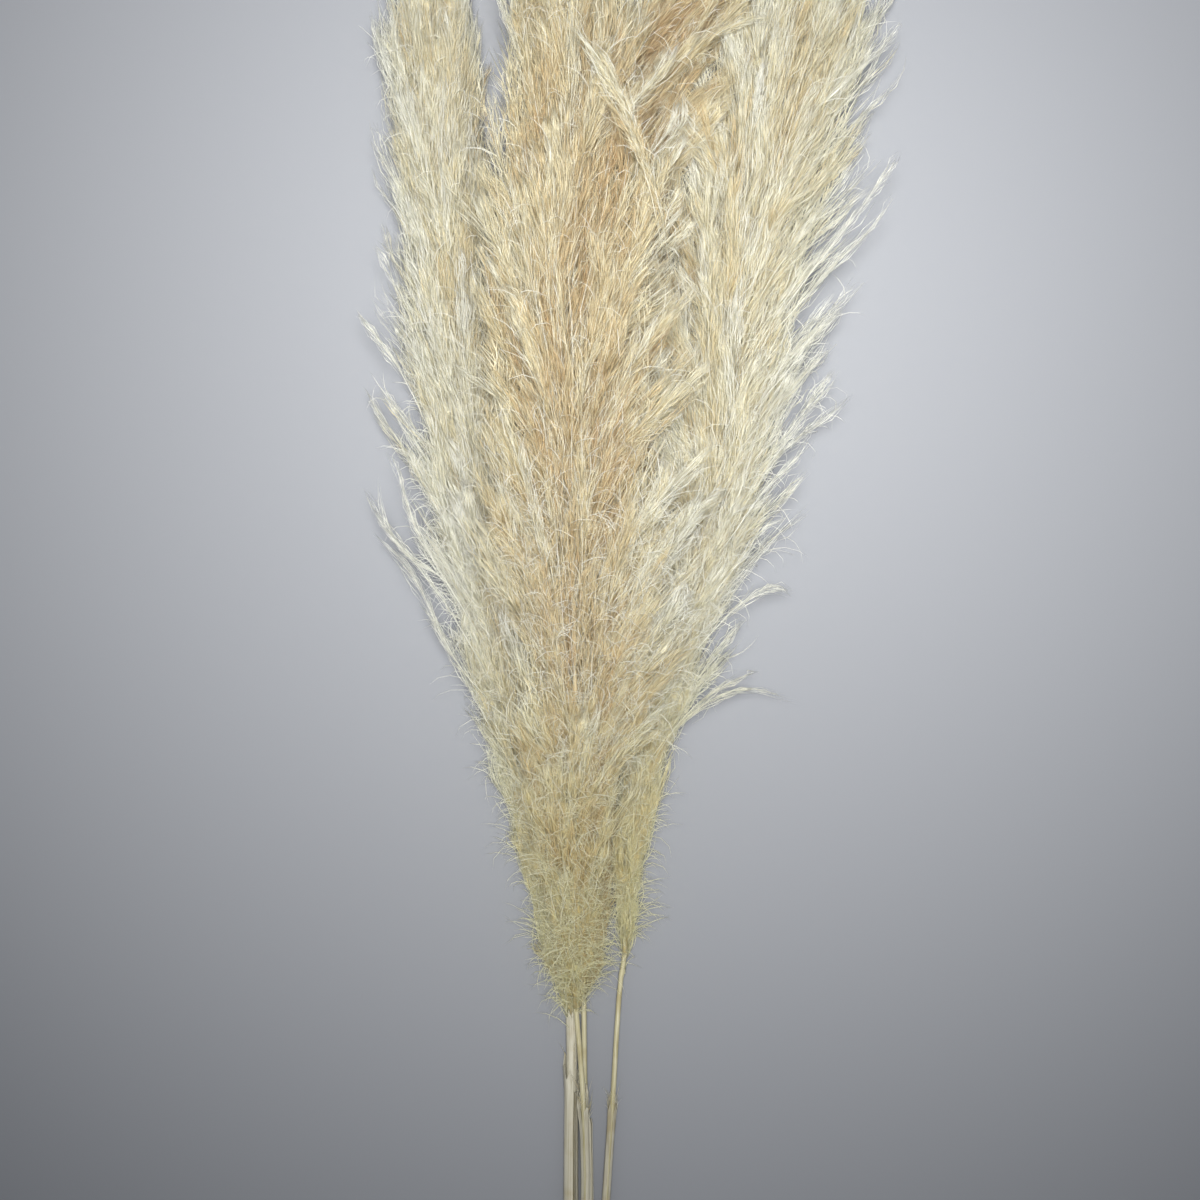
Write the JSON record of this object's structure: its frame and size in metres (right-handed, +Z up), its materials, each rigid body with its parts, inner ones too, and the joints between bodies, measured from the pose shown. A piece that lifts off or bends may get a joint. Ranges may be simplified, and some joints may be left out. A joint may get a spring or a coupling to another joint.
{
  "type": "bundle of dried pampas grass",
  "caption": "Bunch of bleached dried pampas grass lying down: reed stems in papery leaf sheaths, long feathery cream plumes, held by a rubber band near the cut ends.",
  "frame": {"origin": "bottom centre of the whole bunch's box, on the surface it lies on", "axes": "+Y along the bunch from the cut ends to the plume tips, +X across it, +Z up from the surface"},
  "size_m": [0.333, 1.154, 0.116],
  "materials": {
    "stalk": "dry, bleached reed, satin",
    "sheath": "dry papery leaf, matte, finely ribbed",
    "plume": "soft silky fibres, bleached cream",
    "band": "natural rubber, satin"
  },
  "bodies": {
    "root": {"culm_left": "stalk", "sheath_left": "sheath", "plume_left": "plume", "culm_front": "stalk", "sheath_front": "sheath", "plume_front": "plume", "culm_arching": "stalk", "sheath_arching": "sheath", "plume_arching": "plume", "culm_right": "stalk", "sheath_right": "sheath", "plume_right": "plume", "band": "band"}
  },
  "joints": []
}
